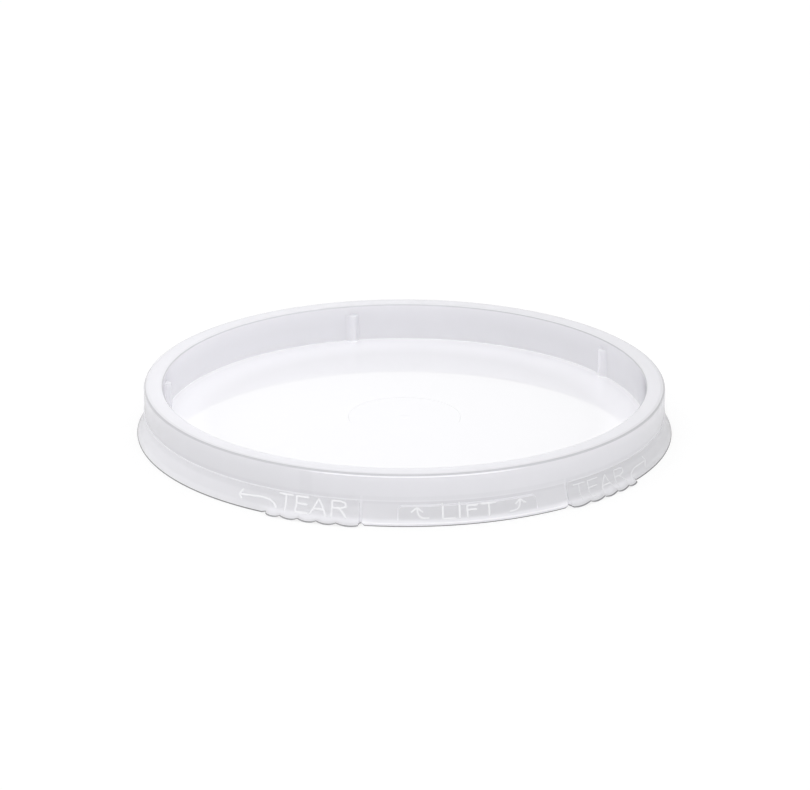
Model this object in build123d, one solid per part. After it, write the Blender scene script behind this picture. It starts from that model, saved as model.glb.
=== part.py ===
from build123d import *
import math
import os

# Pull-tab lid for a round food container, moulded in one piece. Millimetres.
# +Z is up, the hem stands on z = 0 and the lift tab faces -Y.
# Angles are degrees round the lid from the middle of the tab, positive toward +X.

# Driving sizes
hem_radius = 60.0  # outer edge of the skirt, where the lid stands
lid_height = 11.0  # hem to the top of the rim
skin = 0.7  # thickness of the panel, walls and skirt

# Rim channel that snaps over the lip of the container
ledge_width = 0.75  # from the upper wall out to the top of the tear strip
skirt_flare = 1.0  # how far the hem is outside the top of the tear strip
channel_width = 2.85  # between the plug wall and the outer wall
bead_proud = 0.4  # snap bead on the inside of the outer wall
bead_drop = 3.4  # from the roof of the channel down to the bead
bead_half_height = 0.6
bead_flat = 0.4  # height of the flat crest of the bead
channel_bevel = 0.3  # in both corners of the roof of the channel
rim_round_outer = 0.55
rim_round_inner = 0.5

# Recessed panel with the mark of the injection point
recess_depth = 8.65  # rim top down to the panel
panel_bevel = 0.6  # where the panel turns up into the plug wall
plug_lead = 0.9  # lead-in bevel round the foot of the plug wall
gate_dish_radius = 12.6
gate_dish_depth = 0.08
gate_mark_radius = 0.9

# Stacking ribs inside the recess
rib_count = 5
rib_proud = 1.2
rib_width = 2.2  # at the foot
rib_draft = 0.15  # each side narrows by this much to the top
rib_below_rim = 1.5
rib_round = 0.3
rib_sunk = 0.3  # how far a rib runs into the wall and the panel

# Tear line and tear strip
ledge_height = 5.45
groove_width = 0.15
groove_depth = 0.3
tear_web = 0.25  # what is left to tear at the groove and at the slits
slit_angle = 21.9  # from the middle of the tab to each slit
slit_width = 0.6
strip_corner_round = 0.9

# Finger grip: lobes along the hem next to each slit
lobe_angles = [5.0, 4.05, 3.9, 3.85, 3.5]  # width of each lobe, outward from the slit
lobe_height = 0.55

# Lift tab
flare_start = 6.1  # height at which the tab leaves the upper wall
lip_height = 0.75  # upright edge along the foot of the tab
lip_foot = 0.5  # width of the tab's foot
notch_width = 1.2  # V notch in the hem at each slit
pad_angle = 14.65  # half the width of the raised pad
pad_top = 4.27
pad_foot = 1.2
pad_proud = 0.5  # at its top edge; the pad runs out into the tab at its foot
pad_corner_round = 1.0
pad_sunk = 0.05  # how far the foot of the pad is below the surface of the tab

# Worked out from the sizes above
strip_top_radius = hem_radius - skirt_flare
wall_radius = strip_top_radius - ledge_width
wall_bore = wall_radius - skin
plug_radius = wall_bore - channel_width
recess_radius = plug_radius - skin
panel_top = lid_height - recess_depth
panel_bottom = panel_top - skin
channel_roof = lid_height - skin
bead_height = channel_roof - bead_drop
groove_floor = ledge_height - groove_depth
strip_slope = skirt_flare / ledge_height
strip_angle = 360.0 - 2.0 * slit_angle
slit_sweep = math.degrees(slit_width / hem_radius)
clear = 1.0  # how far cutters reach past what they cut

# The tab curves out from the upright wall to its lip in one arc
flare_reach = hem_radius - wall_radius
flare_drop = flare_start - lip_height
flare_curve = (flare_reach**2 + flare_drop**2) / (2.0 * flare_reach)


def flare_radius(height):
    """Outside radius of the tab's curved face at a height."""
    drop = flare_start - height
    return wall_radius + flare_curve - math.sqrt(flare_curve**2 - drop**2)


def bevel_meets_strip(offset):
    """Where the 45 degree bevel behind the groove meets the inside of the strip.

    Both lines are moved outward by offset: 0 gives the inside surface itself.
    """
    reach = wall_radius + groove_floor - math.sqrt(2.0) * (tear_web - offset)
    foot = hem_radius - skin + offset
    height = (reach - foot) / (1.0 - strip_slope)
    return reach - height, height


def section(corners):
    """Face in the XZ plane from (radius, height, rounding) corners in order."""
    outline = Polyline(*[(r, z) for r, z, _ in corners], close=True)
    face = make_face(outline)
    for r, z, rounding in corners:
        if rounding > 0:
            corner = face.vertices().sort_by_distance((r, z, 0))[0]
            face = fillet(corner, rounding)
    return Plane.XZ * face


def turn(face, start, sweep):
    """Revolve a section about the lid's axis, from one angle over a sweep."""
    return Rot(0, 0, start - 90.0) * revolve(face, Axis.Z, sweep)


def facing(angle):
    """Plane through the axis: its X runs round the lid, its Y up, its normal outward."""
    a = math.radians(angle)
    return Plane((0, 0, 0), x_dir=(math.cos(a), math.sin(a), 0), z_dir=(math.sin(a), -math.cos(a), 0))


def radial_prism(outline, angle, inner, outer):
    """Prism from an outline seen from outside the lid, between two radii."""
    face = make_face(outline)
    return facing(angle) * Pos(0, 0, inner) * extrude(face, outer - inner)


def make_body():
    """Panel, plug wall, flat rim and outer wall with its snap bead, all the way round."""
    crest = wall_bore - bead_proud
    corners = [
        (0, panel_bottom, 0),
        (plug_radius - plug_lead, panel_bottom, 0),
        (plug_radius, panel_bottom + plug_lead, 0),
        (plug_radius, channel_roof - channel_bevel, 0),
        (plug_radius + channel_bevel, channel_roof, 0),
        (wall_bore - channel_bevel, channel_roof, 0),
        (wall_bore, channel_roof - channel_bevel, 0),
        (wall_bore, bead_height + bead_half_height, 0),
        (crest, bead_height + bead_flat / 2, 0),
        (crest, bead_height - bead_flat / 2, 0),
        (wall_bore, bead_height - bead_half_height, 0),
        (wall_bore, flare_start, 0),
        (wall_radius, flare_start, 0),
        (wall_radius, lid_height, rim_round_outer),
        (recess_radius, lid_height, rim_round_inner),
        (recess_radius, panel_top + panel_bevel, 0),
        (recess_radius - panel_bevel, panel_top, 0),
        (0, panel_top, 0),
    ]
    body = turn(section(corners), 0, 360)
    dish = Pos(0, 0, panel_top) * Cylinder(gate_dish_radius, 2 * gate_dish_depth)
    mark = Pos(0, 0, panel_top) * Cylinder(gate_mark_radius, 2 * gate_dish_depth)
    return body - dish + mark


def make_rib(angle):
    """One upright stacking rib, narrower at the top, with its inner edges rounded."""
    top = lid_height - rib_below_rim
    foot = panel_top - rib_sunk
    half = rib_width / 2
    corners = [(-half, foot), (half, foot), (half - rib_draft, top), (rib_draft - half, top)]
    inner = recess_radius - rib_proud
    rib = radial_prism(Polyline(*corners, close=True), angle, inner, recess_radius + rib_sunk)
    a = math.radians(angle)
    front = rib.faces().sort_by_distance((inner * math.sin(a), -inner * math.cos(a), top))[0]
    edges = front.edges().sort_by(Axis.Z)[1:]
    return fillet(edges, rib_round)


def make_strip():
    """Tear strip, hung on the outer wall by the thin web behind the groove."""
    bevel_radius, bevel_height = bevel_meets_strip(0)
    corners = [
        (wall_bore, flare_start, 0),
        (wall_bore, bevel_radius + bevel_height - wall_bore, 0),
        (bevel_radius, bevel_height, 0),
        (hem_radius - skin, 0, 0),
        (hem_radius, 0, 0),
        (strip_top_radius, ledge_height, 0),
        (wall_radius + groove_width, ledge_height, 0),
        (wall_radius, groove_floor, 0),
        (wall_radius, flare_start, 0),
    ]
    return turn(section(corners), slit_angle, strip_angle)


def tab_inside():
    """Inside of the tab in section: an arc from the bore of the wall out to the foot."""
    return TangentArc((wall_bore, flare_start), (hem_radius - lip_foot, 0), tangent=(0, -1))


def make_tab():
    """Lift tab: the wall curves out to the hem without a ledge or a tear line."""
    outside = TangentArc((wall_radius, flare_start), (hem_radius, lip_height), tangent=(0, -1))
    inside = tab_inside()
    top = Line((wall_bore, flare_start), (wall_radius, flare_start))
    lip = Line((hem_radius, lip_height), (hem_radius, 0))
    foot = Line((hem_radius, 0), (hem_radius - lip_foot, 0))
    face = Plane.XZ * make_face([outside, lip, foot, inside, top])
    return turn(face, -slit_angle, 2 * slit_angle)


def make_slit_wall(side):
    """Thin wall that joins the side of the tab to the web behind a slit, where the two lie apart."""
    inside = tab_inside()
    foot = Line((hem_radius - lip_foot, 0), (hem_radius, 0))
    outside = Line((hem_radius, 0), (strip_top_radius, ledge_height))
    ledge = Line((strip_top_radius, ledge_height), (wall_radius, ledge_height))
    wall = Line((wall_radius, ledge_height), (wall_radius, flare_start))
    top = Line((wall_radius, flare_start), (wall_bore, flare_start))
    face = Plane.XZ * make_face([inside, foot, outside, ledge, wall, top])
    sweep = math.degrees(tear_web / hem_radius)
    start = slit_angle if side > 0 else -slit_angle - sweep
    return turn(face, start, sweep)


def make_pad():
    """Raised pad on the tab with rounded upper corners."""
    corners = [
        (flare_radius(pad_top) - skin / 2, pad_top, 0),
        (flare_radius(pad_top) + pad_proud, pad_top, 0),
        (flare_radius(pad_foot) - pad_sunk, pad_foot, 0),
        (flare_radius(pad_foot) - skin / 2, pad_foot, 0),
    ]
    pad = turn(section(corners), -pad_angle, 2 * pad_angle)
    upper = pad.edges().filter_by(GeomType.LINE).sort_by(Axis.Z)[-2:]
    return fillet(upper, pad_corner_round)


def outside_web(start, sweep):
    """All that lies outside the web of the tear line, from below the hem up to the ledge."""
    bend_radius, bend_height = bevel_meets_strip(tear_web)
    corners = [
        (hem_radius - skin + tear_web, -clear, 0),
        (hem_radius - skin + tear_web, 0, 0),
        (bend_radius, bend_height, 0),
        (wall_radius, groove_floor, 0),
        (wall_radius, ledge_height, 0),
        (hem_radius + clear, ledge_height, 0),
        (hem_radius + clear, -clear, 0),
    ]
    return turn(section(corners), start, sweep)


def slit_groove(side):
    """Groove from the hem up to the ledge at one end of the strip, down to the web."""
    start = slit_angle if side > 0 else -slit_angle - slit_sweep
    return outside_web(start, slit_sweep)


def corner_cutter(side):
    """What is cut off the upper corner of the strip where it meets a slit, down to the web."""
    r = strip_corner_round
    bulge = r * (1 - math.sqrt(0.5))
    back = -side * slit_width / 2
    outline = [
        ThreePointArc((0, ledge_height - r), (side * bulge, ledge_height - bulge), (side * r, ledge_height)),
        Line((side * r, ledge_height), (side * r, ledge_height + clear)),
        Line((side * r, ledge_height + clear), (back, ledge_height + clear)),
        Line((back, ledge_height + clear), (back, ledge_height - r)),
        Line((back, ledge_height - r), (0, ledge_height - r)),
    ]
    angle = side * (slit_angle + slit_sweep)
    sweep = slit_sweep + math.degrees((r + clear) / wall_radius)
    start = slit_angle if side > 0 else -slit_angle - sweep
    corner = radial_prism(outline, angle, wall_radius, hem_radius + clear)
    return corner & outside_web(start, sweep)


def notch_cutter(side):
    """V notch in the hem where a slit runs out."""
    half = notch_width / 2
    slope = lobe_height / half
    far = half + clear / slope
    outline = Polyline((-far, -clear), (far, -clear), (0, lobe_height), close=True)
    return radial_prism(outline, side * slit_angle, wall_radius, hem_radius + clear)


def lobe_cutter(start, width):
    """What is cut away under one lobe of the finger grip, leaving a round edge."""
    half = hem_radius * math.sin(math.radians(abs(width)) / 2)
    outline = [
        ThreePointArc((-half, lobe_height), (0, 0), (half, lobe_height)),
        Line((half, lobe_height), (half, -clear)),
        Line((half, -clear), (-half, -clear)),
        Line((-half, -clear), (-half, lobe_height)),
    ]
    return radial_prism(outline, start + width / 2, wall_radius, hem_radius + clear)


def grip_cutters(side):
    """Cutters for all lobes on one side of the tab, outward from the slit."""
    cutters = []
    start = slit_angle
    for width in lobe_angles:
        cutters.append(lobe_cutter(side * start, side * width))
        start += width
    return cutters


def make_lid():
    lid = make_body() + make_strip() + make_tab() + make_pad()
    for i in range(rib_count):
        lid += make_rib(180.0 + i * 360.0 / rib_count)
    for side in (-1, 1):
        lid += make_slit_wall(side)
        lid -= slit_groove(side)
        lid -= corner_cutter(side)
        lid -= notch_cutter(side)
        for cutter in grip_cutters(side):
            lid -= cutter
    return lid.solids().sort_by(SortBy.VOLUME)[-1]


lid = make_lid()
lid.label = "lid"
os.makedirs("parts", exist_ok=True)
export_step(lid, "parts/lid.step")
print("volume", round(lid.volume, 1), "valid", lid.is_valid)
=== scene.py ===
import math

import bpy
import numpy as np
from mathutils import Matrix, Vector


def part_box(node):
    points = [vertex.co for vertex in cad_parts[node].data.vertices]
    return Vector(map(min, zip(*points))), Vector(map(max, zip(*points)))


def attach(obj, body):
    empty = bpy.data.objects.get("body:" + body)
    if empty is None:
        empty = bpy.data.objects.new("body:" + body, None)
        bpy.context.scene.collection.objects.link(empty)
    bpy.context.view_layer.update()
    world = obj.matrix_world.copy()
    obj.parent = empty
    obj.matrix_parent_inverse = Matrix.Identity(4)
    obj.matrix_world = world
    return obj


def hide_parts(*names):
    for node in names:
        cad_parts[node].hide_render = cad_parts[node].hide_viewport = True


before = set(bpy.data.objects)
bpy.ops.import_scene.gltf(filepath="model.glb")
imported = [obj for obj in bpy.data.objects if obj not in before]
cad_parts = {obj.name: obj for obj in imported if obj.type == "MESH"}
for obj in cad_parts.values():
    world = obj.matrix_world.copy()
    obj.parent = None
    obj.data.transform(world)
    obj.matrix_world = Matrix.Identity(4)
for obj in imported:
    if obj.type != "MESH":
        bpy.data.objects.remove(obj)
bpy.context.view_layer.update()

# The lid is one injection moulding of milky clear polypropylene: a recessed panel, a flat rim over the
# channel for the container's lip, and a skirt that two slits divide into a lift tab and a tear strip.
# Sizes are in millimetres, angles in degrees round the lid from the middle of the tab, positive to +X.
top_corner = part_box("lid")[1]
hem = 1000.0 * top_corner[1]
height = 1000.0 * top_corner[2]
skin = 0.7
flare_reach, flare_power, strip_proud = 1.75, 1.8, 0.15
channel_width = 2.85
wall = hem - flare_reach
bore = wall - skin
plug = bore - channel_width
recess = plug - skin
panel = height - 8.65
foot_round = 0.12
dish_radius, dish_depth = 12.6, 0.08
gate_radius, gate_proud = 0.9, 0.02
rim_round_outer, rim_round_inner = 0.55, 0.5
rib_count = 5
rib_proud, rib_half, rib_draft, rib_round = 1.2, 1.1, 0.15, 0.3
rib_soft = 0.7
rib_top = height - 2.1
bead_proud, bead_middle, bead_half = 0.4, 6.9, 0.6
plug_lead = 0.9
tear_line, bevel_drop = 5.1, 0.25
web, slit_depth = 0.25, 0.2
slit = 21.9
slit_end = slit + math.degrees(0.6 / hem)
slit_wall_end = slit + math.degrees(web / hem)
strip_corner = 0.9
lobes = np.cumsum([slit, 5.0, 4.05, 3.9, 3.85, 3.5])
lobe_height, lobe_reach = 0.55, 1.3
lobe_out, lobe_out_reach = 1.3, 2.2
notch_half = 0.6
flare_start, lip_height, lip_foot = 6.1, 0.75, 0.5
pad_angle, pad_top, pad_foot = 14.65, 4.27, 1.2
pad_proud, pad_sunk, pad_corner = 0.5, 0.05, 1.0


def to_xyz(angle, radius, level):
    """Metres in the lid's frame from the angle round the lid, the radius and the height."""
    a = np.radians(angle)
    return np.stack([radius * np.sin(a), -radius * np.cos(a), level + 0 * a], -1) * 0.001


def smooth_step(x, start, end):
    """0 before start, 1 after end and an even curve between them."""
    t = np.clip((x - start) / (end - start), 0.0, 1.0)
    return t * t * (3.0 - 2.0 * t)


def arc(centre_r, centre_z, radius, start, end, count):
    """Points on an arc of the section, between two angles from the outward direction."""
    a = np.radians(np.linspace(start, end, count))
    return np.stack([centre_r + radius * np.cos(a), centre_z + radius * np.sin(a)], -1)


def straight(r0, z0, r1, z1, count):
    """Evenly spaced points of the section on a straight line, without its last point."""
    t = np.linspace(0.0, 1.0, count, endpoint=False)[:, None]
    return np.array([[r0, z0]]) * (1 - t) + np.array([[r1, z1]]) * t


def bend_out(reach, drop, depth):
    """How far an arc has left its upright tangent at a depth, when it is out by reach at drop.

    The arc is part of a circle of radius (reach squared + drop squared) / (2 reach).
    """
    curve = (reach**2 + drop**2) / (2 * reach)
    return curve - np.sqrt(curve**2 - np.clip(depth, 0, drop) ** 2)


def tab_outside(z):
    """Radius of the tab's curved outside: an arc from the upright wall to the top of the lip."""
    inside = wall + bend_out(hem - wall, flare_start - lip_height, flare_start - z)
    return np.where(z < lip_height, hem, inside)


def tab_inside(z):
    """Radius of the tab's curved inside: an arc from the bore of the wall to the foot."""
    return bore + bend_out(hem - lip_foot - bore, flare_start, flare_start - z)


def pad_face(z):
    """Radius of the pad's face: a straight slope from its proud top edge into the tab at its foot."""
    head = tab_outside(np.array(pad_top)) + pad_proud
    foot = tab_outside(np.array(pad_foot)) - pad_sunk
    return head + (foot - head) * (pad_top - z) / (pad_top - pad_foot)


def flare(z):
    """Radius of the strip's outside, which stands a little proud of the wall and bends out to the hem.

    The way out to the hem shrinks as the depth below the tear line, as a share of the whole, to a power.
    """
    depth = 1 - np.clip(z, 0, tear_line) / tear_line
    return wall + strip_proud + (flare_reach - strip_proud) * depth**flare_power


def lobes_out(angle, z):
    """How far the grip stands out from the strip: even along the lobes, and less with the height.

    Upwards it falls as what is left of its reach, as a share of the whole, to the power of 1.5.
    """
    beta = np.abs(angle)
    begins = smooth_step(beta, slit_end - 0.1, slit_end + 0.1)
    along = begins * smooth_step(beta, lobes[-1] + 0.3, lobes[-1] - 0.5)
    return lobe_out * along * np.clip(1 - z / lobe_out_reach, 0, 1) ** 1.5


def inside_corner(side_gap, top_gap, corner):
    """Distance inside an outline that has a side, a top and a rounded corner between them.

    In the corner it is the corner's radius less the distance from the corner's centre, and elsewhere the
    smaller of the two gaps.
    """
    in_corner = (side_gap < corner) & (top_gap < corner)
    off = np.hypot(np.clip(corner - side_gap, 0, None), np.clip(corner - top_gap, 0, None))
    return np.where(in_corner, corner - off, np.minimum(side_gap, top_gap))


def angles_round():
    """Angles of the sections: even all round, and closer at each slit, lobe, pad edge and rib."""
    sets = [np.arange(-180.0, 180.0, 1.5)]
    corner = np.degrees(strip_corner / hem) * (1 - np.cos(np.linspace(0.3, 1.57, 9)))
    by_slit = np.array([-0.6, -0.3, -0.1, -0.02, 0.02, 0.1, 0.2])
    by_strip = np.array([-0.1, -0.02, 0.02, 0.06])
    by_pad = np.concatenate([np.linspace(-1.1, -0.3, 7), [-0.2, -0.12, -0.06, -0.02, 0.02, 0.08]])
    for side in (-1.0, 1.0):
        for near, far in zip(lobes[:-1], lobes[1:]):
            sets.append(side * np.linspace(near, far, 13))
        sets.append(side * np.concatenate([slit + by_slit, slit_end + by_strip, slit_end + corner]))
        sets.append(side * (pad_angle + by_pad))
    across = rib_half + rib_soft * np.linspace(-1.6, 1.3, 15)
    half = np.degrees(across / recess)
    for k in range(rib_count):
        middle = 180.0 + k * 360.0 / rib_count
        sets.append((middle + np.concatenate([-half, [0.0], half]) + 180.0) % 360.0 - 180.0)
    angles = np.unique(np.round(np.concatenate(sets), 3))
    return angles[np.concatenate([[True], np.diff(angles) > 0.012])]


def upper_rings(angle):
    """Rings from the middle of the panel over the rim and down the outer wall.

    Gives five arrays, with a row for each ring and a column for each angle: the radius, the height, the
    height above the hem's own edge, and the distance inside the outlines of the pad and of the strip,
    which is -1 where neither is near. The section is the same all round, apart from the ribs. A rib is
    an even curve across the recess wall, from nothing outside its half width to its full stand inside
    it, and the draft narrows it towards the top. Its crown is a quarter circle. Rings of the panel near
    its foot move in with it.
    """
    mark = panel - dish_depth
    gate = mark + gate_proud
    section = np.vstack([
        [(0.0, gate), (gate_radius - 0.2, gate), (gate_radius, gate - 0.01), (gate_radius + 0.1, mark)],
        straight(gate_radius + 1.0, mark, dish_radius - 0.2, mark, 3),
        [(dish_radius - 0.04, mark), (dish_radius, panel - dish_depth / 2), (dish_radius + 0.04, panel)],
        straight(dish_radius + 0.2, panel, recess - 4.0, panel, 5),
        [(recess - 4.0, panel), (recess - 2.0, panel), (recess - foot_round - 0.15, panel)],
        arc(recess - foot_round, panel + foot_round, foot_round, -90, 0, 7),
        straight(recess, panel + 1.5, recess, rib_top - rib_round - 0.2, 4),
        straight(recess, rib_top - rib_round - 0.2, recess, rib_top, 9),
        [(recess, rib_top), (recess, rib_top + 0.02), (recess, rib_top + 0.1)],
        [(recess, height - rim_round_inner - 0.3)],
        arc(recess + rim_round_inner, height - rim_round_inner, rim_round_inner, 180, 90, 9),
        straight(recess + rim_round_inner + 0.2, height, wall - rim_round_outer - 0.2, height, 3),
        arc(wall - rim_round_outer, height - rim_round_outer, rim_round_outer, 90, 0, 10),
        straight(wall, height - 2.0, wall, flare_start, 3),
    ])
    start = section[:, :1]
    level = section[:, 1:]
    pitch = 360.0 / rib_count
    from_rib = (angle + 180.0 + pitch / 2) % pitch - pitch / 2
    across = np.abs(np.radians(from_rib))[None, :] * recess
    half = rib_half - rib_draft * np.clip((level - panel) / (rib_top - panel), 0, 1)
    side = smooth_step(across, half + rib_soft, half - rib_soft)
    crown = np.sqrt(1 - np.clip((level - rib_top + rib_round) / rib_round, 0, 1) ** 2)
    moves = np.where(start < recess + 1e-6, smooth_step(start, recess - 4.0, recess - foot_round), 0.0)
    radius = start - rib_proud * side * crown * moves
    level = np.repeat(level, len(angle), 1)
    outside = np.full_like(level, -1.0)
    return radius, level, level, outside, outside


def skirt_rings(angle):
    """Rings from the outer wall down to the hem and up inside, as the same five arrays.

    Outside, the strip follows its flare inside its outline and lies deeper in the slit, and the tab
    follows its own curve with the pad standing proud inside its outline. An even step at the slit joins
    the two. The notches and the gaps between the lobes lift the hem, and less so with the height: a
    notch is a V, and a lobe is an arc of a circle.
    """
    beta = np.abs(angle)
    run = np.radians(beta)
    levels = np.concatenate([
        np.linspace(flare_start - 0.1, tear_line + 0.2, 4),
        tear_line + np.array([0.1, 0.04, 0.0, -0.04, -0.1, -0.17, -0.25]),
        np.arange(0.2, tear_line - 0.3, 0.15),
        pad_top + np.array([-0.09, -0.05, -0.02, 0.01, 0.04, 0.07]),
        [lip_height - 0.07, lip_height, lip_height + 0.07],
    ])
    levels = np.sort(levels)[::-1]
    levels = levels[np.append(True, np.diff(levels) < -0.001)][:, None]

    end_gap = (run - math.radians(slit_end)) * hem
    inside_strip = inside_corner(end_gap, tear_line - levels, strip_corner)
    on_strip = smooth_step(inside_strip, -0.02, 0.1)
    bottom = np.where(levels < tear_line, np.maximum(flare(levels) - slit_depth, wall), wall)
    strip_r = bottom + (flare(levels) - bottom) * on_strip

    side_gap = (math.radians(pad_angle) - run) * wall
    inside_pad = inside_corner(side_gap, pad_top - levels, pad_corner)
    tab_r = tab_outside(levels)
    tab_r = tab_r + np.clip(pad_face(levels) - tab_r, 0, None) * smooth_step(inside_pad, -0.02, 0.1)

    is_tab = 1.0 - smooth_step(beta, slit - 0.04, slit + 0.04)
    in_slit = (1.0 - is_tab) * (1.0 - smooth_step(end_gap, -0.02, 0.1))
    foot_r = np.array([-0.03, -0.1, -0.18, -0.4])[:, None] + hem - in_slit * slit_depth
    foot_z = np.array([0.1, 0.03, 0.0, 0.0])[:, None] + 0 * beta
    outer_r = np.vstack([is_tab * tab_r + (1 - is_tab) * strip_r, foot_r])
    outer_z = np.vstack([levels + 0 * beta, foot_z])

    inner_z = np.array([0.0, 0.12, 0.8, 1.6, 2.6, 3.6, 4.2, 4.59, 5.1, 5.5, flare_start])[:, None] + 0 * beta
    bevel = wall + tear_line - bevel_drop - math.sqrt(2.0) * web
    strip_in = np.maximum(np.minimum(flare(inner_z) - skin, bevel - inner_z), bore)
    inner_tab = 1.0 - smooth_step(beta, slit_wall_end - 0.02, slit_wall_end + 0.02)
    inner_r = inner_tab * tab_inside(inner_z) + (1 - inner_tab) * strip_in

    from_notch = np.abs(run - math.radians(slit)) * hem
    raised = np.clip(lobe_height - from_notch * lobe_height / notch_half, 0, None)
    for near, far in zip(lobes[:-1], lobes[1:]):
        chord = hem * math.sin(math.radians(far - near) / 2)
        from_middle = (run - math.radians(near + far) / 2) * hem
        bow = bend_out(lobe_height, chord, np.abs(from_middle))
        raised = np.where((beta >= near) & (beta <= far), np.maximum(bow, raised), raised)
    above_hem = np.vstack([outer_z, inner_z])
    radius = np.vstack([outer_r, inner_r]) + lobes_out(angle, above_hem)
    level = above_hem + raised * np.clip(1 - above_hem / lobe_reach, 0, 1)
    rest = np.full((len(level) - len(levels), len(angle)), -1.0)
    outlines = [np.vstack([np.clip(inside, -1.0, 1.0), rest]) for inside in (inside_pad, inside_strip)]
    return radius, level, above_hem, *outlines


def under_rings(angle):
    """Rings up the bore with its snap bead, round the channel and under the panel, as the same arrays."""
    roof = height - skin
    bottom = panel - skin
    crest = bore - bead_proud
    low, high = bead_middle - bead_half, bead_middle + bead_half
    section = np.vstack([
        [(bore, low), (crest + 0.1, low + 0.36), (crest + 0.01, low + 0.44), (crest, bead_middle)],
        [(crest + 0.01, high - 0.44), (crest + 0.1, high - 0.36), (bore, high)],
        [(bore, 8.5), (bore, roof - 0.4)],
        arc(bore - 0.3, roof - 0.3, 0.3, 0, 90, 4),
        arc(plug + 0.3, roof - 0.3, 0.3, 90, 180, 4),
        straight(plug, roof - 2.0, plug, bottom + plug_lead, 3),
        arc(plug - plug_lead, bottom + plug_lead, plug_lead, 0, -90, 7),
        straight(plug - 4.0, bottom, 0.0, bottom, 4),
        [(0.0, bottom)],
    ])
    radius, level = (np.repeat(section[:, k : k + 1], len(angle), 1) for k in (0, 1))
    outside = np.full_like(level, -1.0)
    return radius, level, level, outside, outside


def ring_body(rings):
    """Points, quads and triangles of a closed body from rings of points, ring by point by xyz.

    Each quad joins two neighbours on a ring with the same two on the next. The first and the last ring
    become one point each, their middle, with a fan of triangles round it. The faces turn so that they
    point outwards where the rings go from the top middle outwards and down, and back in underneath.
    """
    count = rings.shape[1]
    body = rings[1:-1].reshape(-1, 3)
    points = np.vstack([body, rings[0].mean(0), rings[-1].mean(0)])
    i = np.arange(len(rings) - 3)[:, None] * count
    j = np.arange(count)[None, :]
    k = (j + 1) % count
    quads = np.stack([i + j, i + j + count, i + k + count, i + k], -1).reshape(-1, 4)
    j = j[0]
    k = k[0]
    base = (len(rings) - 3) * count
    first = np.stack([j, k, np.full(count, len(body))], -1)
    last = np.stack([base + k, base + j, np.full(count, len(body) + 1)], -1)
    return points, quads, np.vstack([first, last])


def mesh_of(name, points, quads, fans):
    """A smooth mesh from an array of points, one of quads and one of triangles."""
    mesh = bpy.data.meshes.new(name)
    mesh.from_pydata(points.tolist(), [], quads.tolist() + fans.tolist())
    mesh.update()
    mesh.shade_smooth()
    return mesh


def link(name, mesh):
    """An object at the origin for a mesh, a camera or a lamp."""
    thing = bpy.data.objects.new(name, mesh)
    bpy.context.scene.collection.objects.link(thing)
    return thing


def add(tree, kind, inputs=None, **settings):
    """A new node with its settings. An input is given as a number to set or an output to link."""
    made = tree.nodes.new("ShaderNode" + kind)
    for name, value in settings.items():
        setattr(made, name, value)
    for name, value in (inputs or {}).items():
        if isinstance(value, bpy.types.NodeSocket):
            tree.links.new(value, made.inputs[name])
        else:
            made.inputs[name].default_value = value
    return made


def calc(tree, operation, a, b):
    """The output of a Math node on two numbers or outputs."""
    return add(tree, "Math", {0: a, 1: b}, operation=operation).outputs[0]


def fade(tree, value, start, end, before, after):
    """A value that goes evenly from before to after while another goes from start to end."""
    ends = {"Value": value, "From Min": start, "From Max": end, "To Min": before, "To Max": after}
    return add(tree, "MapRange", ends, interpolation_type="SMOOTHSTEP").outputs[0]


def moulded_skin():
    """Node group for the skin of the moulding.

    Tone is a cloud pattern with faint streaks that run outward from the injection point, as the melt
    flowed. Roughness follows the clouds a little. Height is the fine grain of the mould's surface.
    """
    group = bpy.data.node_groups.new("moulded_skin", "ShaderNodeTree")
    for name, value in (("Cloud", 0.01), ("Streaks", 0.01), ("Roughness", 0.3)):
        socket = group.interface.new_socket(name, in_out="INPUT", socket_type="NodeSocketFloat")
        socket.default_value = value
    for name in ("Tone", "Roughness", "Height"):
        group.interface.new_socket(name, in_out="OUTPUT", socket_type="NodeSocketFloat")
    given = group.nodes.new("NodeGroupInput").outputs
    place = add(group, "TexCoord").outputs["Object"]
    axes = add(group, "SeparateXYZ", {0: place}).outputs
    cloud = add(group, "TexNoise", {"Vector": place, "Scale": 70.0, "Detail": 3.0}).outputs[0]
    cloud = calc(group, "SUBTRACT", cloud, 0.5)
    flow = add(group, "CombineXYZ", {
        0: calc(group, "MULTIPLY", calc(group, "ARCTAN2", axes["X"], axes["Y"]), 25.0),
        1: calc(group, "MULTIPLY", add(group, "VectorMath", {0: place}, operation="LENGTH").outputs[1], 40.0),
    }).outputs[0]
    streak = add(group, "TexNoise", {"Vector": flow, "Scale": 1.0, "Detail": 2.0}).outputs[0]
    streak = calc(group, "SUBTRACT", streak, 0.5)
    tone = calc(group, "MULTIPLY", cloud, given["Cloud"])
    tone = calc(group, "ADD", tone, calc(group, "MULTIPLY", streak, given["Streaks"]))
    tone = calc(group, "ADD", tone, 1.0)
    rough = calc(group, "ADD", given["Roughness"], calc(group, "MULTIPLY", cloud, 0.08))
    grain = add(group, "TexNoise", {"Vector": place, "Scale": 2500.0, "Detail": 2.0}).outputs[0]
    done = group.nodes.new("NodeGroupOutput")
    for name, value in (("Tone", tone), ("Roughness", rough), ("Height", grain)):
        group.links.new(value, done.inputs[name])
    return group


def band(tree, value, start, end, soft):
    """A mask that is 1 between two values and fades out over a soft distance beyond both."""
    rise = fade(tree, value, start - soft, start, 0.0, 1.0)
    return calc(tree, "MULTIPLY", rise, fade(tree, value, end, end + soft, 1.0, 0.0))


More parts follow.
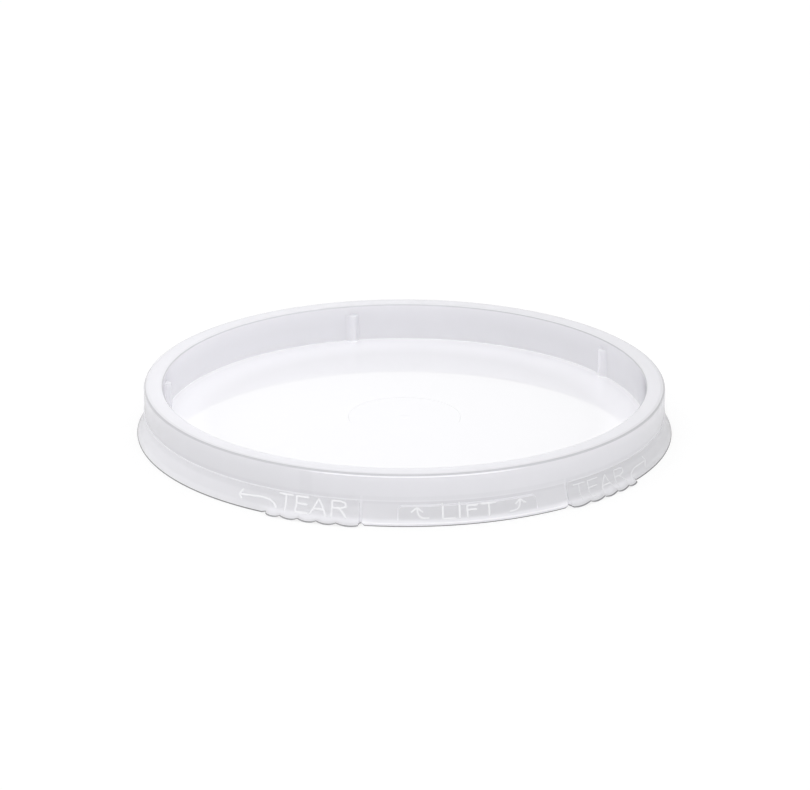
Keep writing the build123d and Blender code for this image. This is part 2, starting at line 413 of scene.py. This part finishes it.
def region_masks(tree):
    """Masks of the moulding's regions, and the place across it from -1 at the left to 1 at the right.

    Each is a product of bands of the height and the radius in millimetres and of the angle in degrees
    from the middle of the tab.
    """
    place = add(tree, "TexCoord").outputs["Object"]
    axes = add(tree, "SeparateXYZ", {0: place}).outputs
    flat = add(tree, "CombineXYZ", {0: axes["X"], 1: axes["Y"]}).outputs[0]
    radius = add(tree, "VectorMath", {0: flat}, operation="LENGTH").outputs[1]
    radius = calc(tree, "MULTIPLY", radius, 1000.0)
    level = calc(tree, "MULTIPLY", axes["Z"], 1000.0)
    beta = calc(tree, "ARCTAN2", axes["X"], calc(tree, "MULTIPLY", axes["Y"], -1.0))
    beta = calc(tree, "MULTIPLY", calc(tree, "ABSOLUTE", beta, 0.0), math.degrees(1.0))
    above_hem = add(tree, "Attribute", attribute_name="above_hem").outputs["Fac"]
    inside_pad = add(tree, "Attribute", attribute_name="inside_pad").outputs["Fac"]
    inside_strip = add(tree, "Attribute", attribute_name="inside_strip").outputs["Fac"]
    across = calc(tree, "MULTIPLY", axes["X"], 1000.0 / hem)
    low = band(tree, level, -1.0, tear_line - 0.1, 0.05)
    high = band(tree, level, tear_line + 0.3, height - rim_round_outer, 0.3)
    outside = band(tree, radius, wall - 0.1, hem + 1.0, 0.3)
    inside = band(tree, radius, recess - rib_proud - 0.1, recess + 0.1, 0.1)
    tab = band(tree, beta, -1.0, slit, 0.05)
    strip = band(tree, beta, slit_end, 181.0, 0.05)
    skirt = calc(tree, "MULTIPLY", outside, low)
    on_wall = calc(tree, "MULTIPLY", outside, high)
    on_panel = calc(tree, "MULTIPLY", band(tree, level, -1.0, panel + 0.1, 0.3),
                    band(tree, radius, -1.0, recess - 0.1, 0.2))
    on_strip = calc(tree, "MULTIPLY", strip, outside)
    on_tab = calc(tree, "MULTIPLY", tab, outside)
    by_hem = calc(tree, "MULTIPLY", outside, band(tree, above_hem, -1.0, 1.0, 0.8))
    on_rim = band(tree, level, height - 0.1, height + 1.0, 0.1)
    below_rim = band(tree, level, height - 0.6, height - 0.4, 0.1)
    at_front = band(tree, beta, -1.0, 50.0, 20.0)
    front_left = calc(tree, "MULTIPLY", band(tree, across, -0.45, 0.1, 0.15), at_front)
    # Most of these regions carry painted light and shade: highlights on edges and outlines, shade on the
    # rim's edges, a rib's shadow behind the wall and a contact shadow at the foot.
    regions = {
        "panel": (on_panel, 1.0),
        # The panel next to the wall's foot gets a painted highlight.
        "panel_edge_highlight": (on_panel, band(tree, radius, recess - 2.0, recess + 1.0, 10.0)),
        # The recess wall, its foot and the ribs are made paler, as painted light against their shade.
        "recess_wall": (inside, band(tree, level, panel + 0.4, height - 0.4, 0.3)),
        "recess_foot": (inside, band(tree, level, panel + 0.4, panel + 0.8, 4.0)),
        "rib": (
            band(tree, level, panel + 0.3, rib_top - 0.3, 0.3),
            band(tree, radius, recess - rib_proud - 0.1, recess - 0.1, 0.1),
        ),
        "rim": (band(tree, level, height - 0.05, height + 1.0, 0.1), 1.0),
        # The rim's outer, front and inner edges get painted shade, as dark bands.
        "rim_outer_edge_shade": (
            band(tree, level, height - 0.3, height + 1.0, 0.15),
            band(tree, radius, wall - rim_round_outer + 0.2, hem, 0.15),
        ),
        "rim_front_edge_shade": (
            calc(tree, "MULTIPLY", on_rim, band(tree, radius, wall - 0.9, wall - 0.2, 0.3)),
            band(tree, beta, -1.0, 70.0, 40.0),
        ),
        "rim_inner_edge_shade": (
            band(tree, level, height - 0.2, height + 1.0, 0.2),
            band(tree, radius, recess - 0.1, recess + 0.2, 0.15),
        ),
        # A painted highlight just below the rim, on the front left.
        "rim_shine": (calc(tree, "MULTIPLY", below_rim, outside), front_left),
        "wall": (on_wall, 1.0),
        # A painted shadow of the rib that stands behind the wall.
        "rib_shadow_behind": (on_wall, band(tree, beta, 33.2, 35.0, 1.0)),
        # The strip's outline gets a painted highlight.
        "strip_outline_highlight": (outside, band(tree, inside_strip, -0.08, 0.08, 0.08)),
        # On the skirt, the strip, tab and pad get painted shade, darker under their tops, and painted light
        # near the hem.
        "strip": (skirt, strip),
        "strip_top": (on_strip, band(tree, level, 4.1, tear_line + 0.5, 0.8)),
        "strip_hem": (strip, by_hem),
        "grip": (by_hem, band(tree, beta, slit, lobes[-1], 3.0)),
        "tab": (skirt, tab),
        "tab_top": (on_tab, band(tree, level, pad_top + 0.4, flare_start - 0.2, 0.4)),
        "tab_hem": (on_tab, band(tree, level, -1.0, 1.0, 0.8)),
        # The lip's edge gets a painted highlight.
        "lip_edge_highlight": (on_tab, band(tree, level, lip_height - 0.07, lip_height + 0.07, 0.1)),
        "pad": (band(tree, inside_pad, 0.12, 2.0, 0.08), band(tree, level, pad_foot + 1.0, pad_top, 1.0)),
        # The pad's outline gets a painted highlight.
        "pad_outline_highlight": (
            band(tree, inside_pad, -0.08, 0.1, 0.08),
            band(tree, level, pad_foot + 0.5, pad_top + 1.0, 0.5),
        ),
        # A dark painted contact shadow along the foot of the hem.
        "foot": (outside, band(tree, above_hem, -1.0, 0.2, 0.1)),
    }
    masks = {name: calc(tree, "MULTIPLY", one, other) for name, (one, other) in regions.items()}
    return masks, across


skin_group = moulded_skin()
plastic = bpy.data.materials.new("natural_polypropylene")
plastic.use_nodes = True
tree = plastic.node_tree
surface = add(tree, "Group", {}, node_tree=skin_group)
masks, across = region_masks(tree)
plastic_colour = (0.923, 0.92, 0.945, 1)
plastic_roughness, refraction, grain_height = 0.15, 1.49, 0.000002
coat_roughness, coat_refraction, panel_refraction = 0.008, 1.6, 3.0
surface.inputs["Roughness"].default_value = plastic_roughness
# How much paler a region is than the plastic alone, as a share: in the middle, what is added towards the
# right, and what is added towards both sides. The shares are fitted to one view of the real lid. A part of
# them stands for the depth of the plastic and for what shows through it, and most of them is painted light
# and shade: painted highlights below the rim's front, along the panel's edge, the strip's outline, the lip's
# edge and the pad's outline; a paler rim top, recess wall, ribs and hems, as painted light; painted shade on
# the rim's edges, the strip, the tab and the pad; a painted shadow of the rib behind the wall; and a dark
# painted contact shadow along the foot. The number below darkens the whole moulding towards the right, as
# painted shade of light from the left, and the walls also darken towards both sides as painted shade.
painted_light_from_left = -0.045
depth_and_painted_light = {
    "panel": (-0.01, 0.0, 0.0),
    "panel_edge_highlight": (0.2, 0.0, 0.0),
    "recess_wall": (0.085, 0.0, 0.0),
    "recess_foot": (0.04, 0.0, 0.0),
    "rib": (0.045, 0.055, 0.0),
    "rim": (0.05, 0.0, 0.0),
    "rim_outer_edge_shade": (-0.22, 0.0, -0.1),
    "rim_front_edge_shade": (-0.08, 0.0, 0.0),
    "rim_inner_edge_shade": (-0.15, 0.0, -0.13),
    "rim_shine": (0.25, 0.0, 0.0),
    "wall": (-0.03, 0.06, -0.09),
    "rib_shadow_behind": (-0.01, 0.025, 0.0),
    "strip_outline_highlight": (0.1, 0.0, 0.0),
    "strip": (-0.11, -0.045, 0.0),
    "strip_top": (-0.045, 0.0, 0.0),
    "strip_hem": (0.06, 0.0, 0.0),
    "grip": (0.08, 0.02, 0.0),
    "tab": (-0.09, 0.0, 0.0),
    "tab_top": (-0.03, 0.0, 0.0),
    "tab_hem": (0.16, 0.0, 0.0),
    "lip_edge_highlight": (0.2, 0.0, 0.0),
    "pad": (-0.06, 0.0, 0.0),
    "pad_outline_highlight": (0.25, 0.0, 0.0),
    "foot": (-0.82, 0.0, 0.0),
}
tone = calc(tree, "ADD", calc(tree, "MULTIPLY", across, painted_light_from_left), 1.0)
both_sides = calc(tree, "MULTIPLY", across, across)
for name, (gain, slope, curve) in depth_and_painted_light.items():
    gain = calc(tree, "ADD", calc(tree, "MULTIPLY", across, slope), gain)
    gain = calc(tree, "ADD", calc(tree, "MULTIPLY", both_sides, curve), gain)
    tone = calc(tree, "ADD", tone, calc(tree, "MULTIPLY", masks[name], gain))
tone = calc(tree, "MULTIPLY", tone, surface.outputs["Tone"])
colour = add(tree, "HueSaturation", {"Color": plastic_colour, "Value": tone}).outputs[0]
bump = add(tree, "Bump", {"Height": surface.outputs["Height"], "Distance": grain_height, "Strength": 1.0})
shader = tree.nodes["Principled BSDF"]
tree.links.new(colour, shader.inputs["Base Color"])
tree.links.new(surface.outputs["Roughness"], shader.inputs["Roughness"])
tree.links.new(bump.outputs[0], shader.inputs["Normal"])
shader.inputs["IOR"].default_value = refraction
shader.inputs["Coat Weight"].default_value = 1.0
shader.inputs["Coat Roughness"].default_value = coat_roughness
coat = fade(tree, masks["panel"], 0.0, 1.0, coat_refraction, panel_refraction)
tree.links.new(coat, shader.inputs["Coat IOR"])
# The share of light that passes through: a third in the walls, little in the panel over the table
wall_share, panel_share = 0.35, 0.05
share = fade(tree, masks["panel"], 0.0, 1.0, wall_share, panel_share)
through = add(tree, "BsdfTranslucent", {"Color": colour})
blend = add(tree, "MixShader", {0: share, 1: shader.outputs[0], 2: through.outputs[0]})
tree.links.new(blend.outputs[0], tree.nodes["Material Output"].inputs["Surface"])

angle = angles_round()
parts = [upper_rings(angle), skirt_rings(angle), under_rings(angle)]
radii, heights, above_hem, inside_pad, inside_strip = (np.vstack(columns) for columns in zip(*parts))
mesh = mesh_of("lid_moulding", *ring_body(to_xyz(angle[None, :], radii, heights)))
kept = {"above_hem": above_hem, "inside_pad": inside_pad, "inside_strip": inside_strip}
for name, values in kept.items():
    attribute = mesh.attributes.new(name, "FLOAT", "POINT")
    attribute.data.foreach_set("value", np.append(values[1:-1].ravel(), [values[0, 0], values[-1, 0]]))
mesh.set_sharp_from_angle(angle=math.radians(32))
mesh.materials.append(plastic)
lid = link("lid_moulding", mesh)
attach(lid, "root")
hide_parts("lid")

# The words and arrows are raised on the skirt, cut into the mould as plain strokes. They are words of
# use, TEAR beside each slit and LIFT on the pad, in the lid's own plastic, a little denser in a stroke.
stroke_proud, stroke_sunk = 0.07, 0.1
stroke_step = 0.25


def skirt_radius(angle, z):
    """Outside radius of the skirt at an angle and a height: tab with its pad, or strip."""
    on_pad = (np.abs(angle) < pad_angle) & (z < pad_top + 0.03)
    tab = np.where(on_pad, np.maximum(tab_outside(z), pad_face(z)), tab_outside(z))
    return np.where(np.abs(angle) < slit, tab, flare(z) + lobes_out(angle, z))


def stroke(corners, stroke_half):
    """Rings of one raised stroke of a half width along corners given as angle and height.

    The line is divided evenly. Each point carries a flattened oval whose wide side lies along the skirt,
    and the ends are rounded by ovals that shrink like a half circle.
    """
    corners = np.array(corners, float)
    flat = np.stack([np.radians(corners[:, 0]) * hem, corners[:, 1]], -1)
    at = np.concatenate([[0], np.cumsum(np.hypot(*np.diff(flat, axis=0).T))])
    count = max(2, int(at[-1] / stroke_step) + 1)
    along = np.linspace(0, at[-1], count)
    x = np.interp(along, at, flat[:, 0])
    z = np.interp(along, at, flat[:, 1])
    dx = np.gradient(x)
    dz = np.gradient(z)
    size = np.hypot(dx, dz)
    dx = dx / size
    dz = dz / size
    caps = np.array([1.0, 0.8, 0.5])
    x = np.concatenate([x[0] - dx[0] * caps * stroke_half, x, x[-1] + dx[-1] * caps[::-1] * stroke_half])
    z = np.concatenate([z[0] - dz[0] * caps * stroke_half, z, z[-1] + dz[-1] * caps[::-1] * stroke_half])
    dx = np.concatenate([np.full(3, dx[0]), dx, np.full(3, dx[-1])])
    dz = np.concatenate([np.full(3, dz[0]), dz, np.full(3, dz[-1])])
    grow = np.sqrt(1 - caps**2)
    scale = np.concatenate([grow, np.ones(count), grow[::-1]])[:, None]
    turn = np.radians(np.arange(0, 360, 30))
    side = np.cos(turn) * stroke_half * scale
    out = np.where(np.sin(turn) > 0, np.sin(turn) * stroke_proud, np.sin(turn) * stroke_sunk) * scale
    px = x[:, None] - dz[:, None] * side
    pz = z[:, None] + dx[:, None] * side
    angle = np.degrees(px / hem)
    return to_xyz(angle, skirt_radius(angle, pz) + out, pz)


def word_mesh(name, strokes, stroke_half):
    """One mesh from many strokes, each closed at both ends, their points and faces put one after another."""
    bodies = [ring_body(stroke(corners, stroke_half)[:, ::-1]) for corners in strokes]
    starts = np.cumsum([0] + [len(points) for points, _, _ in bodies])
    points = np.concatenate([points for points, _, _ in bodies])
    quads = np.concatenate([quads + start for (_, quads, _), start in zip(bodies, starts)])
    fans = np.concatenate([fans + start for (_, _, fans), start in zip(bodies, starts)])
    return mesh_of(name, points, quads, fans)


def tear_letters(left, right, base, tail, tall):
    """Strokes of the word TEAR between two angles, whose feet go from base at the left to tail at the right.

    Each letter is placed by its share of the span, and its strokes by their share of the letter's height.
    """
    span = right - left
    low = [base + (tail - base) * t for t in (0.0, 0.25, 0.55, 0.9)]
    t0, e0, a0, r0 = (left + span * t for t in (0.0, 0.26, 0.48, 0.79))
    t1, e1, a1, r1 = (left + span * t for t in (0.2, 0.44, 0.71, 1.0))
    mid = [z + tall * 0.52 for z in low]
    head = [z + tall for z in low]
    t_middle = (t0 + t1) / 2
    a_middle = (a0 + a1) / 2
    bow = r0 + span * 0.12
    return [
        [(t0, head[0]), (t1, head[0])],
        [(t_middle, head[0]), (t_middle, low[0])],
        [(e1, head[1]), (e0, head[1]), (e0, low[1]), (e1, low[1])],
        [(e0, mid[1]), (e1 - span * 0.02, mid[1])],
        [(a0, low[2]), (a_middle, head[2]), (a1, low[2])],
        [(a0 + span * 0.045, low[2] + tall * 0.33), (a1 - span * 0.045, low[2] + tall * 0.33)],
        [(r0, low[3]), (r0, head[3]), (bow, head[3]), (r1 - span * 0.02, head[3] - tall * 0.1),
         (r1 - span * 0.01, mid[3] + tall * 0.12), (bow, mid[3]), (r0, mid[3])],
        [(r0 + span * 0.1, mid[3]), (r1, low[3])],
    ]


# Corners of the strokes as angle and height, each line one stroke
lift_letters = [
    [(-5.6, 4.4), (-5.6, 1.5), (-3.2, 1.5)],
    [(-2.15, 4.4), (-2.15, 1.5)],
    [(1.5, 3.95), (-0.55, 3.95), (-0.55, 1.5)],
    [(-0.55, 3.05), (1.2, 3.05)],
    [(2.5, 4.05), (5.4, 4.05)],
    [(4.0, 4.05), (4.0, 1.5)],
]
lift_arrows = []
for side in (-1, 1):
    shaft = ((8.5, 1.75), (9.6, 1.78), (10.3, 2.1), (10.65, 2.7), (10.83, 3.8))
    head = ((9.75, 3.1), (10.83, 3.95), (11.95, 3.1))
    lift_arrows += [[(side * a, z) for a, z in shaft], [(side * a, z) for a, z in head]]
tear_left = tear_letters(-39.8, -25.2, 1.45, 1.45, 3.1)
tear_right = tear_letters(24.1, 39.8, 1.0, 1.0, 3.1)
arrow_left = [
    [(-40.3, 1.6), (-41.2, 2.4), (-42.1, 2.85), (-43.4, 3.0), (-45.0, 2.95), (-49.6, 2.5)],
    [(-48.8, 3.6), (-49.7, 2.5), (-48.9, 1.75)],
]
arrow_right = [
    [(40.9, 0.9), (42.2, 1.75), (44.0, 2.45), (48.7, 2.5)],
    [(48.2, 3.6), (49.3, 2.5), (48.4, 1.5)],
]

dense_plastic = bpy.data.materials.new("natural_polypropylene_relief")
dense_plastic.use_nodes = True
tree = dense_plastic.node_tree
surface = add(tree, "Group", {}, node_tree=skin_group)
relief_colour, relief_roughness = (0.89, 0.89, 0.91, 1), 0.5
# The strokes darken from left to right, as painted shade of light from the left.
left_share, right_share, half_run = 0.93, 0.85, 0.04
surface.inputs["Roughness"].default_value = relief_roughness
shader = tree.nodes["Principled BSDF"]
axes = add(tree, "SeparateXYZ", {0: add(tree, "TexCoord").outputs["Object"]}).outputs
painted_shade_to_right = fade(tree, axes["X"], -half_run, half_run, left_share, right_share)
tone = calc(tree, "MULTIPLY", surface.outputs["Tone"], painted_shade_to_right)
colour = add(tree, "HueSaturation", {"Color": relief_colour, "Value": tone})
tree.links.new(colour.outputs[0], shader.inputs["Base Color"])
tree.links.new(surface.outputs["Roughness"], shader.inputs["Roughness"])
shader.inputs["IOR"].default_value = refraction

# Each word or arrow with half the width of its strokes
raised = {
    "lift_word": (lift_letters, 0.23),
    "lift_arrows": (lift_arrows, 0.2),
    "tear_word_left": (tear_left, 0.23),
    "tear_arrow_left": (arrow_left, 0.22),
    "tear_word_right": (tear_right, 0.15),
    "tear_arrow_right": (arrow_right, 0.13),
}
for name, (strokes, half) in raised.items():
    mesh = word_mesh(name, strokes, half)
    mesh.materials.append(dense_plastic)
    relief = link(name, mesh)
    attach(relief, "root")

# The table is a large white sheet. Part of what the camera sees of it is its own light, which keeps the
# contact shadow of the thin lid faint.
table_half = 3.0
camera_glow, through_glow = 0.82, 0.9
white = bpy.data.materials.new("white_table")
white.use_nodes = True
tree = white.node_tree
tree.nodes.clear()
path = add(tree, "LightPath").outputs
glow_share = calc(tree, "MAXIMUM", calc(tree, "MULTIPLY", path["Is Camera Ray"], camera_glow),
                  calc(tree, "MULTIPLY", path["Is Transmission Ray"], through_glow))
sheet = add(tree, "BsdfDiffuse", {"Color": (0.96, 0.96, 0.96, 1)}).outputs[0]
glow = add(tree, "Emission", {"Color": (1, 1, 1, 1), "Strength": 1.0}).outputs[0]
both = add(tree, "MixShader", {0: glow_share, 1: sheet, 2: glow}).outputs[0]
add(tree, "OutputMaterial", {"Surface": both})
corners = [(-table_half, -table_half, 0), (table_half, -table_half, 0)]
corners += [(table_half, table_half, 0), (-table_half, table_half, 0)]
mesh = bpy.data.meshes.new("table")
mesh.from_pydata(corners, [], [(0, 1, 2, 3)])
mesh.materials.append(white)
table = link("table", mesh)

# Surroundings: a white tent, brighter overhead than at the horizon and on the left than on the right.
# The camera and reflections see it as plain white.
horizon, zenith, tilt = 1.05, 1.2, 0.05
world = bpy.data.worlds.new("surroundings")
bpy.context.scene.world = world
world.use_nodes = True
tree = world.node_tree
tree.nodes.clear()
way = add(tree, "SeparateXYZ", {0: add(tree, "TexCoord").outputs["Generated"]}).outputs
strength = fade(tree, way["Z"], -0.1, 0.9, horizon, zenith)
lean = calc(tree, "SUBTRACT", 1.0, calc(tree, "MULTIPLY", way["X"], tilt))
strength = calc(tree, "MULTIPLY", strength, lean)
tent = add(tree, "Background", {"Color": (0.995, 0.995, 1.0, 1), "Strength": strength}).outputs[0]
plain = add(tree, "Background", {"Color": (1, 1, 1, 1), "Strength": 1.0}).outputs[0]
path = add(tree, "LightPath").outputs
seen = calc(tree, "MAXIMUM", path["Is Camera Ray"], path["Is Glossy Ray"])
mixed = add(tree, "MixShader", {0: seen, 1: tent, 2: plain}).outputs[0]
add(tree, "OutputWorld", {"Surface": mixed})

# Camera: a long lens 0.73 m away and 20 degrees above the table, with the middle of the tab 13 degrees
# to the right of the view axis.
turn, rise, roll = (math.radians(degrees) for degrees in (-13.4, 19.95, 0.15))
distance = 0.732
back = np.array([math.sin(turn) * math.cos(rise), -math.cos(turn) * math.cos(rise), math.sin(rise)])
right = np.array([math.cos(turn), math.sin(turn), 0.0])
up = np.cross(back, right)
right_axis = right * math.cos(roll) + up * math.sin(roll)
up_axis = up * math.cos(roll) - right * math.sin(roll)
aim = right * 0.00011 + np.array([0, 0, 0.00748])
spot = aim + back * distance
lens = bpy.data.cameras.new("camera")
lens.lens = 144.98
lens.sensor_width = 36.0
lens.clip_start = 0.01
camera = link("camera", lens)
axes = [[right_axis[i], up_axis[i], back[i], spot[i]] for i in range(3)]
camera.matrix_world = Matrix(axes + [[0, 0, 0, 1]])
bpy.context.scene.camera = camera
bpy.context.scene.view_settings.view_transform = "Standard"
